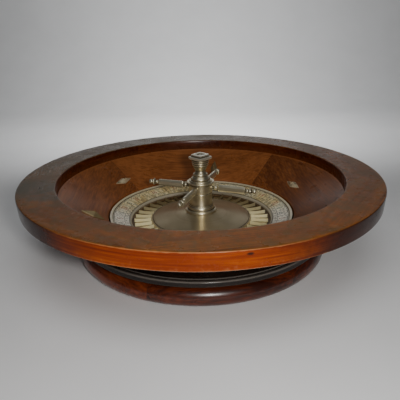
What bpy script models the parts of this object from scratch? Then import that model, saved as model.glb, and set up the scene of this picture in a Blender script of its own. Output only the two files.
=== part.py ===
"""Antique roulette wheel: a turned mahogany bowl and a rotor that spins on a steel spindle.

Units are metres, +Z is up.  The origin is on the spindle's axis, on the surface the foot ring rests on.
"""
import math

import bmesh
import bpy
from mathutils import Matrix, Vector

MM = 0.001

# Driving dimensions, in millimetres.
RIM_RADIUS = 305.0            # outer radius of the bowl
RIM_TOP = 137.0               # height of the bowl's rim
RIM_BOTTOM = 110.3            # lower edge of the rim's side band
TRACK_RADIUS = 244.0          # foot of the rim's inner wall, where the apron starts
TRACK_FOOT = 118.1            # height of the apron at the rim's inner wall
APRON_INNER = 165.0           # inner edge of the sloping apron
APRON_LIP = 69.5              # height of the apron's inner edge
APRON_THICKNESS = 12.0
FOOT_RADIUS = 218.0           # outermost point of the foot ring
FOOT_HEIGHT = 31.0
BOARD_TOP = 35.7              # top of the board that carries the spindle

ROTOR_RADIUS = 162.3          # outer edge of the number ring
ROTOR_EDGE_TOP = 68.0         # top of the number ring's outer band
RING_INNER = 125.4            # inner edge of the number ring
RING_INNER_TOP = 56.2         # height of the number ring's inner edge
POCKET_OUTER = 121.3          # step of the wooden core at the pockets' outer end
POCKET_FLOOR = 48.4           # height of the pockets' floor
POCKET_COUNT = 37
FRET_THICKNESS = 1.6
FRET_HEIGHT = 6.8
DISH_RADIUS = 89.9            # outer edge of the dished centre plate
DISH_EDGE_TOP = 55.0
DISH_SEAT_RADIUS = 29.6       # flat seat under the turret
DISH_SEAT_TOP = 66.2
DISH_THICKNESS = 2.5

ARM_HEIGHT = 110.9            # height of the arms' axis
ARM_TIP = 100.9               # distance of the arms' tips from the spindle's axis
ARM_COUNT = 4
ARM_FIRST_ANGLE = -20.6       # degrees from +X of the first arm
TOTAL_HEIGHT = 169.6          # top of the turret's cap

# Degrees from +X. The deflectors were set by hand, so their spacing is a little uneven.
DEFLECTOR_ANGLES = (21.0, 81.0, 144.5, 200.8, 261.0, 321.0)
DEFLECTOR_RADIUS = 192.0      # distance of each deflector's centre from the axis
DEFLECTOR_LENGTH = 42.0
DEFLECTOR_WIDTH = 14.0
DEFLECTOR_RISE = 7.0
DEFLECTOR_CLEARANCE = 1.3     # keeps a flat base clear of the hollow, faceted apron

GAP = 0.3                     # between pieces that rest on each other
SPINDLE_RADIUS = 7.7
BUSH_RADIUS = 11.0

BOWL_STEPS = 48               # sides of the large turned pieces
TURRET_STEPS = 24             # sides of the small turned pieces
ARM_STEPS = 8                 # the arms are flat-sided bars
MERGE = 0.00001

MAHOGANY_TOP = (0.16, 0.065, 0.03, 1.0)
MAHOGANY_TRACK = (0.22, 0.075, 0.022, 1.0)
MAHOGANY_DARK = (0.07, 0.018, 0.009, 1.0)
EBONISED = (0.012, 0.01, 0.009, 1.0)
AGED_BRONZE = (0.3, 0.22, 0.13, 1.0)
STEEL = (0.45, 0.45, 0.45, 1.0)
BRASS = (0.6, 0.42, 0.16, 1.0)
AGED_SILVER = (0.55, 0.52, 0.42, 1.0)
FRET_METAL = (0.7, 0.6, 0.4, 1.0)
POCKET_BROWN = (0.2, 0.14, 0.07, 1.0)
PEWTER = (0.36, 0.35, 0.3, 1.0)
NICKEL = (0.5, 0.48, 0.38, 1.0)


def clear_scene():
    for item in list(bpy.data.objects):
        bpy.data.objects.remove(item, do_unlink=True)


def new_collection(name):
    collection = bpy.data.collections.new(name)
    bpy.context.scene.collection.children.link(collection)
    return collection


def principled(name, colour, metallic, roughness):
    material = bpy.data.materials.new(name)
    material.use_nodes = True
    shader = material.node_tree.nodes["Principled BSDF"]
    shader.inputs["Base Color"].default_value = colour
    shader.inputs["Metallic"].default_value = metallic
    shader.inputs["Roughness"].default_value = roughness
    return material


def add_object(name, mesh, material, collection, parent=None):
    item = bpy.data.objects.new(name, mesh)
    item.parent = parent
    if material:
        mesh.materials.append(material)
    collection.objects.link(item)
    return item


def arc(centre_r, centre_z, radius, start, end, count):
    """Points on an arc of a profile; angles in degrees from the outward direction, counter-clockwise."""
    points = []
    for index in range(count):
        angle = math.radians(start + (end - start) * index / (count - 1))
        points.append((centre_r + radius * math.cos(angle), centre_z + radius * math.sin(angle)))
    return points


def profile_mesh(name, points, closed):
    """A chain of edges in the XZ plane from (radius, height) points in millimetres."""
    mesh = bpy.data.meshes.new(name)
    edit = bmesh.new()
    verts = [edit.verts.new((radius * MM, 0.0, height * MM)) for radius, height in points]
    for first, second in zip(verts, verts[1:]):
        edit.edges.new((first, second))
    if closed:
        edit.edges.new((verts[-1], verts[0]))
    edit.to_mesh(mesh)
    edit.free()
    return mesh


def turned(name, points, material, collection, steps, parent=None, closed=True):
    """A piece turned on a lathe: the profile runs down its outer side, then up its inner side or axis."""
    item = add_object(name, profile_mesh(name, points, closed), material, collection, parent)
    screw = item.modifiers.new("turned", "SCREW")
    screw.axis = "Z"
    screw.angle = math.tau
    screw.steps = steps
    screw.render_steps = steps
    screw.use_merge_vertices = True
    screw.merge_threshold = MERGE
    screw.use_smooth_shade = True
    return item


def boolean(item, other, operation):
    modifier = item.modifiers.new(other.name, "BOOLEAN")
    modifier.operation = operation
    modifier.solver = "EXACT"
    modifier.object = other


def as_cutter(item):
    item.hide_render = True
    item.display_type = "WIRE"


def line_height(radius, start, end):
    """Height at a radius on the straight line between two (radius, height) points."""
    share = (radius - start[0]) / (end[0] - start[0])
    return start[1] + share * (end[1] - start[1])


def apron_height(radius):
    return line_height(radius, (APRON_INNER, APRON_LIP), (TRACK_RADIUS, TRACK_FOOT))


def dish_height(radius):
    return line_height(radius, (DISH_SEAT_RADIUS, DISH_SEAT_TOP), (DISH_RADIUS, DISH_EDGE_TOP))


def number_ring_height(radius):
    band_foot = (ROTOR_RADIUS - 5.0, ROTOR_EDGE_TOP - 2.0)
    return line_height(radius, (RING_INNER, RING_INNER_TOP), band_foot)


def make_bowl(parts):
    """The fixed wooden pieces, from the foot ring up to the rim."""
    foot_tube = FOOT_HEIGHT / 2
    foot_centre = FOOT_RADIUS - foot_tube
    foot_inner = 160.0
    foot = arc(foot_centre, foot_tube, foot_tube, 90, -90, 9)
    foot += [(foot_inner, 0.0), (foot_inner, FOOT_HEIGHT)]
    turned("foot_ring", foot, principled("foot_ring", MAHOGANY_DARK, 0.0, 0.18), parts, BOWL_STEPS)

    cove_top = 62.0
    bead_radius = 4.8
    bead_height = 39.5
    board_bottom = FOOT_HEIGHT + GAP
    plug_radius = foot_inner - 0.5
    plug_bottom = 18.0
    board = [(204.0, cove_top), (198.5, 58.5), (195.5, 53.0), (197.5, 47.5), (203.0, 44.7)]
    board += arc(211.0, bead_height, bead_radius, 70, -70, 5)
    board += [(206.0, board_bottom), (plug_radius, board_bottom), (plug_radius, plug_bottom)]
    board += [(SPINDLE_RADIUS, plug_bottom), (SPINDLE_RADIUS, BOARD_TOP)]
    board += [(172.0, BOARD_TOP), (178.0, cove_top)]
    turned("base_board", board, principled("base_board", EBONISED, 0.0, 0.2), parts, BOWL_STEPS)

    shell_bottom = cove_top + GAP
    shell_inner = 177.0
    seat = RIM_BOTTOM - GAP
    shell_outer = 300.5
    apron_seat = APRON_THICKNESS + 0.4
    shell = [(shell_outer, seat), (297.0, 105.5), (272.0, 93.5), (242.0, 81.5), (216.0, 70.0)]
    shell += [(208.0, shell_bottom), (shell_inner, shell_bottom)]
    shell += [(shell_inner, apron_height(shell_inner) - apron_seat)]
    shell += [(TRACK_RADIUS, apron_height(TRACK_RADIUS) - apron_seat), (TRACK_RADIUS, seat)]
    turned("bowl_shell", shell, principled("bowl_shell", MAHOGANY_DARK, 0.0, 0.3), parts, BOWL_STEPS)

    apron_outer = TRACK_RADIUS - 0.5
    apron = [(apron_outer, apron_height(apron_outer))]
    apron += [(apron_outer, apron_height(apron_outer) - APRON_THICKNESS)]
    apron += [(APRON_INNER, APRON_LIP - APRON_THICKNESS), (APRON_INNER, APRON_LIP)]
    turned("bowl_apron", apron, principled("bowl_apron", MAHOGANY_TRACK, 0.0, 0.3), parts, BOWL_STEPS)

    edge_round = 2.0
    side_bottom = RIM_RADIUS - 1.4
    rim = arc(RIM_RADIUS - edge_round, RIM_TOP - edge_round, edge_round, 90, 0, 4)
    rim += [(side_bottom, RIM_BOTTOM + 1.5), (side_bottom - 1.5, RIM_BOTTOM)]
    rim += [(TRACK_RADIUS, RIM_BOTTOM), (TRACK_RADIUS, TRACK_FOOT + 1.0)]
    rim += [(TRACK_RADIUS + 0.8, RIM_TOP - 1.5), (TRACK_RADIUS + 2.3, RIM_TOP)]
    turned("rim_ring", rim, principled("rim_ring", MAHOGANY_TOP, 0.0, 0.35), parts, BOWL_STEPS)


def make_deflector(index, angle, parts):
    """A lozenge on the apron's slope, which lies along the track or, every second one, down the slope."""
    name = f"deflector_{index + 1}"
    edit = bmesh.new()
    rise = DEFLECTOR_RISE * MM
    bmesh.ops.create_cone(edit, cap_ends=True, segments=8, radius1=0.5, radius2=0.2, depth=rise)
    shape = Matrix.Diagonal((DEFLECTOR_WIDTH * MM, DEFLECTOR_LENGTH * MM, 1.0, 1.0))
    bmesh.ops.transform(edit, matrix=shape, verts=edit.verts)
    bmesh.ops.translate(edit, vec=(0.0, 0.0, rise / 2), verts=edit.verts)
    mesh = bpy.data.meshes.new(name)
    edit.to_mesh(mesh)
    edit.free()
    item = add_object(name, mesh, principled(name, AGED_BRONZE, 0.4, 0.45), parts)
    slope = math.atan2(TRACK_FOOT - APRON_LIP, TRACK_RADIUS - APRON_INNER)
    around = math.radians(angle)
    turn = Matrix.Rotation(around, 4, "Z") @ Matrix.Rotation(-slope, 4, "Y")
    if index % 2:
        turn = turn @ Matrix.Rotation(math.pi / 2, 4, "Z")
    normal = turn @ Vector((0.0, 0.0, DEFLECTOR_CLEARANCE * MM))
    radius = DEFLECTOR_RADIUS * MM
    height = apron_height(DEFLECTOR_RADIUS) * MM
    foot = Vector((radius * math.cos(around), radius * math.sin(around), height))
    item.matrix_world = Matrix.Translation(foot + normal) @ turn


def make_spindle(parts):
    """The fixed steel pin: a flange on the base board and a blunt tip inside the turret."""
    tip = 88.0
    flange_radius = 26.0
    flange_top = 38.2
    tail_radius = 6.0
    points = [(0.0, tip), (2.5, tip), (SPINDLE_RADIUS, tip - 4.0), (SPINDLE_RADIUS, flange_top)]
    points += [(flange_radius, flange_top), (flange_radius, BOARD_TOP + GAP)]
    points += [(tail_radius, BOARD_TOP + GAP), (tail_radius, 20.0), (0.0, 20.0)]
    steel = principled("spindle", STEEL, 1.0, 0.3)
    turned("spindle", points, steel, parts, TURRET_STEPS, closed=False)


def make_rotor_body(parts, axis):
    """The wooden core, its brass bush and the metal rings that the ball runs into."""
    bush_bottom = 38.6
    bush_flange_top = 40.7
    bush_bore = SPINDLE_RADIUS + GAP
    bush = [(0.0, 92.0), (BUSH_RADIUS, 92.0), (BUSH_RADIUS, bush_flange_top), (18.0, bush_flange_top)]
    bush += [(18.0, bush_bottom), (bush_bore, bush_bottom), (bush_bore, 88.4), (0.0, 88.4)]
    brass = principled("rotor_bush", BRASS, 1.0, 0.3)
    turned("rotor_bush", bush, brass, parts, TURRET_STEPS, axis, closed=False)

    ring_thickness = 4.2
    ring_edge = ROTOR_RADIUS - 0.3
    ring_bottom_outer = number_ring_height(ring_edge) - ring_thickness
    ring_bottom_inner = RING_INNER_TOP - ring_thickness
    band_foot = ROTOR_RADIUS - 5.0
    ring = [(ROTOR_RADIUS - 0.8, ROTOR_EDGE_TOP), (ROTOR_RADIUS, ROTOR_EDGE_TOP - 0.8)]
    ring += [(ring_edge, ring_bottom_outer), (RING_INNER, ring_bottom_inner)]
    ring += [(RING_INNER, RING_INNER_TOP)]
    ring += [(band_foot, number_ring_height(band_foot)), (band_foot + 0.8, ROTOR_EDGE_TOP - 0.6)]
    silver = principled("number_ring", AGED_SILVER, 0.7, 0.4)
    turned("number_ring", ring, silver, parts, BOWL_STEPS, axis)

    floor_outer = POCKET_OUTER - GAP
    floor_inner = 86.0
    floor_bottom = POCKET_FLOOR - 2.0
    floor = [(floor_outer, POCKET_FLOOR), (floor_outer, floor_bottom)]
    floor += [(floor_inner, floor_bottom), (floor_inner, POCKET_FLOOR)]
    brown_metal = principled("pocket_floor", POCKET_BROWN, 0.7, 0.4)
    turned("pocket_floor", floor, brown_metal, parts, BOWL_STEPS, axis)

    lip_inner = DISH_RADIUS - 2.5
    seat_bottom = DISH_SEAT_TOP - DISH_THICKNESS
    dish_bore = BUSH_RADIUS + 1.2
    dish = [(DISH_RADIUS, DISH_EDGE_TOP), (DISH_RADIUS, POCKET_FLOOR + GAP)]
    dish += [(lip_inner, POCKET_FLOOR + GAP), (lip_inner, dish_height(lip_inner) - DISH_THICKNESS)]
    dish += [(DISH_SEAT_RADIUS, seat_bottom), (dish_bore, seat_bottom), (dish_bore, DISH_SEAT_TOP)]
    dish += [(DISH_SEAT_RADIUS, DISH_SEAT_TOP), (DISH_RADIUS - 1.3, dish_height(DISH_RADIUS - 1.3))]
    pewter = principled("cone_plate", PEWTER, 0.9, 0.35)
    turned("cone_plate", dish, pewter, parts, BOWL_STEPS, axis)

    core_bottom = 41.0
    core_edge = ROTOR_RADIUS - 0.8
    core_bore = BUSH_RADIUS + GAP + 0.1
    core_rise = floor_inner - GAP
    core = [(core_edge, ring_bottom_outer - GAP), (core_edge, 50.0), (core_edge - 6.0, core_bottom)]
    core += [(core_bore, core_bottom), (core_bore, seat_bottom - GAP)]
    core += [(DISH_SEAT_RADIUS, seat_bottom - GAP)]
    core += [(core_rise, dish_height(core_rise) - DISH_THICKNESS - GAP)]
    core += [(core_rise, floor_bottom - GAP), (POCKET_OUTER, floor_bottom - GAP)]
    core += [(POCKET_OUTER, ring_bottom_inner - GAP), (RING_INNER, ring_bottom_inner - GAP)]
    wood = principled("rotor_core", MAHOGANY_DARK, 0.0, 0.4)
    turned("rotor_core", core, wood, parts, BOWL_STEPS, axis)


def make_fret(index, parts, axis):
    """One of the thin plates that part the pockets."""
    name = f"fret_{index + 1:02d}"
    inner = DISH_RADIUS + 0.5
    outer = POCKET_OUTER - 0.8
    bottom = POCKET_FLOOR + GAP
    edit = bmesh.new()
    bmesh.ops.create_cube(edit, size=1.0)
    shape = Matrix.Diagonal(((outer - inner) * MM, FRET_THICKNESS * MM, FRET_HEIGHT * MM, 1.0))
    bmesh.ops.transform(edit, matrix=shape, verts=edit.verts)
    middle = ((inner + outer) / 2 * MM, 0.0, (bottom + FRET_HEIGHT / 2) * MM)
    bmesh.ops.translate(edit, vec=middle, verts=edit.verts)
    mesh = bpy.data.meshes.new(name)
    edit.to_mesh(mesh)
    edit.free()
    item = add_object(name, mesh, principled(name, FRET_METAL, 0.8, 0.4), parts, axis)
    item.rotation_euler.z = math.radians(index * 360.0 / POCKET_COUNT)


def make_arm(index, parts, axis):
    """A flat bar on edge that screws into the hub, with a root bead and a disc and a ball at its tip."""
    name = f"arm_{index + 1}"
    ball_radius = 3.8
    neck = 2.4
    screw = 2.7
    ball = arc(0.0, ARM_TIP - ball_radius, ball_radius, 70, -50, 5)
    # Rows of distance from the spindle's axis, half height and half width.
    rows = [(ARM_TIP, 1.0, 1.0)] + [(distance, radius, radius) for radius, distance in ball]
    rows += [(93.0, neck, neck), (92.0, 5.7, 5.7), (89.2, 5.7, 5.7), (87.6, neck, neck)]
    rows += [(85.0, 3.3, 3.3), (82.8, neck, neck), (81.0, 5.6, 3.0), (33.5, 6.1, 3.4)]
    rows += [(31.6, screw, screw), (28.6, 3.8, 3.8), (26.0, screw, screw), (13.0, screw, screw)]
    corner = 1.0 / math.cos(math.pi / ARM_STEPS)
    edit = bmesh.new()
    rings = []
    for distance, tall, wide in rows:
        ring = []
        for step in range(ARM_STEPS):
            angle = math.tau * (step + 0.5) / ARM_STEPS
            across = wide * corner * math.cos(angle)
            up = tall * corner * math.sin(angle)
            ring.append(edit.verts.new((distance * MM, across * MM, up * MM)))
        rings.append(ring)
    edit.faces.new(rings[0])
    edit.faces.new(rings[-1])
    for outer, inner in zip(rings, rings[1:]):
        for step in range(ARM_STEPS):
            after = (step + 1) % ARM_STEPS
            edit.faces.new((outer[step], outer[after], inner[after], inner[step]))
    bmesh.ops.recalc_face_normals(edit, faces=edit.faces)
    mesh = bpy.data.meshes.new(name)
    edit.to_mesh(mesh)
    edit.free()
    item = add_object(name, mesh, principled(name, NICKEL, 1.0, 0.3), parts, axis)
    item.location.z = ARM_HEIGHT * MM
    item.rotation_euler.z = math.radians(ARM_FIRST_ANGLE + index * 360.0 / ARM_COUNT)


def make_arm_sockets(cutters, axis):
    """Cutter for the holes in the hub that the arms screw into."""
    socket_radius = 3.4
    socket_start = 12.5
    socket_end = 30.0
    length = (socket_end - socket_start) * MM
    edit = bmesh.new()
    for index in range(ARM_COUNT):
        azimuth = math.radians(ARM_FIRST_ANGLE + index * 360.0 / ARM_COUNT)
        place = Matrix.Rotation(azimuth, 4, "Z") @ Matrix.Rotation(math.pi / 2, 4, "Y")
        middle = Matrix.Translation((0.0, 0.0, (socket_start + socket_end) / 2 * MM))
        bmesh.ops.create_cone(edit, cap_ends=True, segments=8, radius1=socket_radius * MM,
                              radius2=socket_radius * MM, depth=length, matrix=place @ middle)
    mesh = bpy.data.meshes.new("arm_sockets")
    edit.to_mesh(mesh)
    edit.free()
    sockets = add_object("arm_sockets", mesh, None, cutters, axis)
    sockets.location.z = ARM_HEIGHT * MM
    as_cutter(sockets)
    return sockets


def make_turret(parts, cutters, axis):
    """The plated column with the arms' hub, and the bell-shaped finial that closes it."""
    column_foot = DISH_SEAT_TOP + GAP
    column_bore = BUSH_RADIUS + GAP + 0.1
    screw_bore = 6.4
    hub_top = 121.8
    column = [(20.8, hub_top), (23.7, 121.3), (24.6, 120.3), (24.4, 118.4), (21.0, 117.0), (20.7, 101.0)]
    column += [(19.8, 99.0), (19.6, 92.0), (20.2, 84.0), (21.4, 79.0), (23.7, 75.6), (23.9, 73.2)]
    column += [(22.9, 71.4), (27.6, 70.0), (28.2, 68.6), (28.2, column_foot)]
    column += [(column_bore, column_foot), (column_bore, 94.0), (screw_bore, 97.0), (screw_bore, hub_top)]
    nickel = principled("turret_column", NICKEL, 1.0, 0.3)
    column_item = turned("turret_column", column, nickel, parts, TURRET_STEPS, axis)
    boolean(column_item, make_arm_sockets(cutters, axis), "DIFFERENCE")

    bell_bottom = hub_top + GAP
    spigot_radius = screw_bore - 0.4
    bell = [(0.0, 160.7), (14.4, 160.7), (14.8, 158.0), (13.2, 150.0), (10.2, 143.5), (9.0, 141.0)]
    bell += [(10.0, 137.4), (12.9, 134.2), (12.9, 132.4), (14.2, 130.0), (16.6, 127.6), (16.8, 125.6)]
    bell += [(16.4, 124.4), (19.6, 123.6), (20.2, bell_bottom)]
    bell += [(spigot_radius, bell_bottom), (spigot_radius, 104.0), (0.0, 104.0)]
    finial_metal = principled("turret_finial", NICKEL, 1.0, 0.3)
    finial = turned("turret_finial", bell, finial_metal, parts, TURRET_STEPS, axis, closed=False)

    cap = [(0.0, TOTAL_HEIGHT), (15.2, TOTAL_HEIGHT), (16.0, 168.5), (16.4, 166.4)]
    cap += [(20.0, 165.6), (20.6, 163.4), (19.6, 160.2), (0.0, 160.2)]
    square_cap = turned("square_cap", cap, None, cutters, 4, axis, closed=False)
    as_cutter(square_cap)
    boolean(finial, square_cap, "UNION")


def main():
    clear_scene()
    parts = new_collection("roulette_wheel")
    cutters = new_collection("cutters")
    axis = bpy.data.objects.new("rotor_axis", None)
    parts.objects.link(axis)
    make_bowl(parts)
    make_spindle(parts)
    make_rotor_body(parts, axis)
    make_turret(parts, cutters, axis)
    for index, angle in enumerate(DEFLECTOR_ANGLES):
        make_deflector(index, angle, parts)
    for index in range(POCKET_COUNT):
        make_fret(index, parts, axis)
    for index in range(ARM_COUNT):
        make_arm(index, parts, axis)


main()
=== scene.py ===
"""Looks of an antique roulette wheel: mahogany bowl, silvered number ring, nickel-plated turret."""
import math

import bmesh
import bpy
from mathutils import Matrix, Vector


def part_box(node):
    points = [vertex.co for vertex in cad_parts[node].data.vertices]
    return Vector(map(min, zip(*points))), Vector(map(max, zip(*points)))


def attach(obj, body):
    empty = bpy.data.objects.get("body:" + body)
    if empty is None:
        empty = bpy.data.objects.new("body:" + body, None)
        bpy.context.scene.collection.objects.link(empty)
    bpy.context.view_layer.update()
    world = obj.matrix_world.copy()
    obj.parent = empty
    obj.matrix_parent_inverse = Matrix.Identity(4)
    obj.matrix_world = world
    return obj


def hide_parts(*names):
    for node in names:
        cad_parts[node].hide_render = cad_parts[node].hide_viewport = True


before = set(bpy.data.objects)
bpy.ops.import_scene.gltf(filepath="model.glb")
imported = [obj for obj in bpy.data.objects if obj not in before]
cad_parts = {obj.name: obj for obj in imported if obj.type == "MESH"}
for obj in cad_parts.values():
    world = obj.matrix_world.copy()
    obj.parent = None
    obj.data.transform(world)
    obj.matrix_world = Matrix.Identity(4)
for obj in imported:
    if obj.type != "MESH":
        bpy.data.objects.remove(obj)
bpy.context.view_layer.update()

MM = 0.001
BOWL = "bowl"
ROTOR = "rotor"


def measures(node):
    """Radius, bottom and top of a CAD node in millimetres."""
    low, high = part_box(node)
    return high[0] / MM, low[2] / MM, high[2] / MM


# Driving sizes in millimetres, read from the frame.
RIM_RADIUS, RIM_BOTTOM, RIM_TOP = measures("rim_ring")
APRON_RADIUS, APRON_BOTTOM, APRON_TOP = measures("bowl_apron")
SHELL_RADIUS, SHELL_BOTTOM, _ = measures("bowl_shell")
BOARD_RADIUS, BOARD_BOTTOM, BOARD_TOP = measures("base_board")
FOOT_RADIUS, _, FOOT_TOP = measures("foot_ring")
RING_RADIUS, RING_BOTTOM, RING_TOP = measures("number_ring")
FLOOR_RADIUS, FLOOR_BOTTOM, FLOOR_TOP = measures("pocket_floor")
FRET_OUTER, FRET_BOTTOM, FRET_TOP = measures("fret_01")
FRET_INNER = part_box("fret_01")[0][0] / MM
DISH_RADIUS, DISH_BOTTOM, DISH_TOP = measures("cone_plate")
COLUMN_RADIUS, COLUMN_BOTTOM, COLUMN_TOP = measures("turret_column")
CAP_CORNER, _, CAP_TOP = measures("turret_finial")

POCKET_COUNT = 37
POCKET_ANGLE = math.tau / POCKET_COUNT
TRACK_RADIUS = APRON_RADIUS + 0.5
APRON_INNER = 165.0
APRON_LIP = APRON_BOTTOM + 12.0
RING_INNER = 125.4
RING_INNER_TOP = RING_BOTTOM + 4.2
BAND_FOOT = RING_RADIUS - 5.0
ARM_COUNT = 4
ARM_HEIGHT = 110.9
ARM_TIP = 100.9
ARM_FIRST_ANGLE = math.radians(-20.6)
DEFLECTOR_ANGLES = [math.radians(angle) for angle in (21.0, 81.0, 144.5, 200.8, 261.0, 321.0)]
DEFLECTOR_RADIUS = 192.0
DEFLECTOR_CLEARANCE = 1.3
DEFLECTOR_LENGTH = 42.0
DEFLECTOR_WIDTH = 14.0
# Two lozenges take a darker bronze: partly tarnish, partly painted shade.
TARNISHED_AND_SHADED_DEFLECTORS = (1, 3)  # the ones at the back and at the front left
BAR_FLATNESS = 0.56            # width of an arm's bar over its height
BAR_BEVEL = 1.5                # the bar's bevels: lower cuts its corners deeper
ROUND = 2.0                    # superellipse power of a circle
FULL = 99.0                    # a corner rounded as far as its edges allow
SEAT_GAP = 0.3                 # air between a piece and the one it stands on
GROOVE_REACH = 1.2             # distance over which a groove or an edge is felt
LINE_LIFT = 0.06               # engraved lines over the number ring
FIGURE_LIFT = 0.1              # enamelled figures over the number ring
RING_STEPS = 8 * POCKET_COUNT  # facets round the rotor's rings
WOOD_DIRT = (0.006, 0.003, 0.001)
NUMBER_ORDER = (0, 32, 15, 19, 4, 21, 2, 25, 17, 34, 6, 27, 13, 36, 11, 30, 8, 23, 10,
                5, 24, 16, 33, 1, 20, 14, 31, 9, 22, 18, 29, 7, 28, 12, 35, 3, 26)


# Geometry helpers.

def mix(start, end, share):
    return start + (end - start) * share


def polar(radius, angle):
    return radius * math.cos(angle), radius * math.sin(angle)


def line_height(radius, start, end):
    """Height at a radius on the line through two (radius, height) points."""
    return mix(start[1], end[1], (radius - start[0]) / (end[0] - start[0]))


def apron_height(radius):
    """Height of the sloping track."""
    return line_height(radius, (APRON_INNER, APRON_LIP), (APRON_RADIUS, APRON_TOP))


def ring_height(radius):
    """Height of the number ring's face."""
    return line_height(radius, (RING_INNER, RING_INNER_TOP), (BAND_FOOT, RING_TOP - 2.0))


def spaced(start, end, count, height):
    """Evenly spaced points between two radii; height(radius) gives their heights."""
    radii = [mix(start, end, step / count) for step in range(1, count)]
    return [(radius, height(radius)) for radius in radii]


def is_open(outline):
    """An outline from axis to axis is open; any other one runs back to its start."""
    return outline[0][0] == 0.0


def rounded(outline, steps=5):
    """Rounds each (radius, height, rounding) corner of an outline with a short curve."""
    most = 0.49  # share of an edge that one corner may take
    count = len(outline)
    result = []
    for index, corner in enumerate(outline):
        point = Vector(corner[:2])
        size = corner[2] if len(corner) > 2 else 0.0
        at_end = is_open(outline) and index in (0, count - 1)
        if size == 0.0 or at_end:
            result.append(tuple(point))
            continue
        before = Vector(outline[index - 1][:2]) - point
        after = Vector(outline[(index + 1) % count][:2]) - point
        start = point + before.normalized() * min(size, before.length * most)
        end = point + after.normalized() * min(size, after.length * most)
        for step in range(steps + 1):
            share = step / steps
            blend = start * (1 - share) ** 2 + point * 2 * share * (1 - share) + end * share ** 2
            result.append(tuple(blend))
    return result


def hollowness(outline):
    """How far each point lies in a groove, positive, or on an edge, negative."""
    count = len(outline)
    values = []
    for index in range(count):
        point = Vector(outline[index])
        sides = []
        for direction in (-1, 1):
            previous = point
            left = GROOVE_REACH
            for step in range(1, count):
                other = index + direction * step
                if is_open(outline) and not 0 <= other < count:
                    break
                nearby = Vector(outline[other % count])
                length = (nearby - previous).length
                if length >= left:
                    previous = previous.lerp(nearby, left / length)
                    break
                left -= length
                previous = nearby
            sides.append(previous)
        middle = (sides[0] + sides[1]) / 2 - point
        outward = (sides[1] - sides[0]).orthogonal().normalized()
        values.append(middle.dot(outward) / GROOVE_REACH)
    return values


def finish_mesh(mesh, sharp=32.0):
    edit = bmesh.new()
    edit.from_mesh(mesh)
    bmesh.ops.recalc_face_normals(edit, faces=edit.faces)
    edit.to_mesh(mesh)
    edit.free()
    mesh.shade_smooth()
    mesh.set_sharp_from_angle(angle=math.radians(sharp))


def new_mesh(name, verts, faces, material):
    mesh = bpy.data.meshes.new(name)
    mesh.from_pydata(verts, [], faces)
    mesh.materials.append(material)
    return mesh


def lathe(name, outline, material, steps=256, shape=None, place=None):
    """Turned surface from (radius, height) points; shape(index, angle) swells a point."""
    verts = []
    faces = []
    rings = []
    for index, (radius, height) in enumerate(outline):
        first = len(verts)
        if radius == 0.0:
            verts.append((0.0, 0.0, height * MM))
            rings.append([first] * steps)
            continue
        for step in range(steps):
            angle = math.tau * step / steps
            reach = radius * (shape(index, angle) if shape else 1.0) * MM
            verts.append((*polar(reach, angle), height * MM))
        rings.append(list(range(first, first + steps)))
    pairs = list(zip(rings, rings[1:]))
    if not is_open(outline):
        pairs.append((rings[-1], rings[0]))
    for upper, lower in pairs:
        for step in range(steps):
            after = (step + 1) % steps
            corners = dict.fromkeys((upper[step], lower[step], lower[after], upper[after]))
            if len(corners) > 2:
                faces.append(tuple(corners))
    mesh = new_mesh(name, verts, faces, material)
    hollow = mesh.attributes.new("hollow", "FLOAT", "POINT")
    for ring, value in zip(rings, hollowness(outline)):
        for vert in ring:
            hollow.data[vert].value = value
    if place:
        mesh.transform(place)
    finish_mesh(mesh)
    return add_object(mesh)


def add_object(data):
    """Puts a mesh, light, camera or text into the scene under its own name."""
    item = bpy.data.objects.new(data.name, data)
    bpy.context.scene.collection.objects.link(item)
    return item


def superellipse(power, angle):
    """Swelling that turns a circle into a rounded diamond with its corners on the axes."""
    across = abs(math.cos(angle)) ** power + abs(math.sin(angle)) ** power
    return across ** (-1.0 / power)


def flat_bar(angle):
    """Swelling that turns a circle into a bevelled flat bar on edge."""
    up = abs(math.cos(angle))
    across = abs(math.sin(angle)) / BAR_FLATNESS
    return 1.0 / max(up, across, (up + across) / BAR_BEVEL)


def declare(piece, body, slot, *nodes):
    """Attaches a piece to its body and hides the CAD nodes that it stands for; its slot is not
    used.
    """
    if nodes:
        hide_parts(*nodes)
    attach(piece, body)


# Material helpers.

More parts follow.
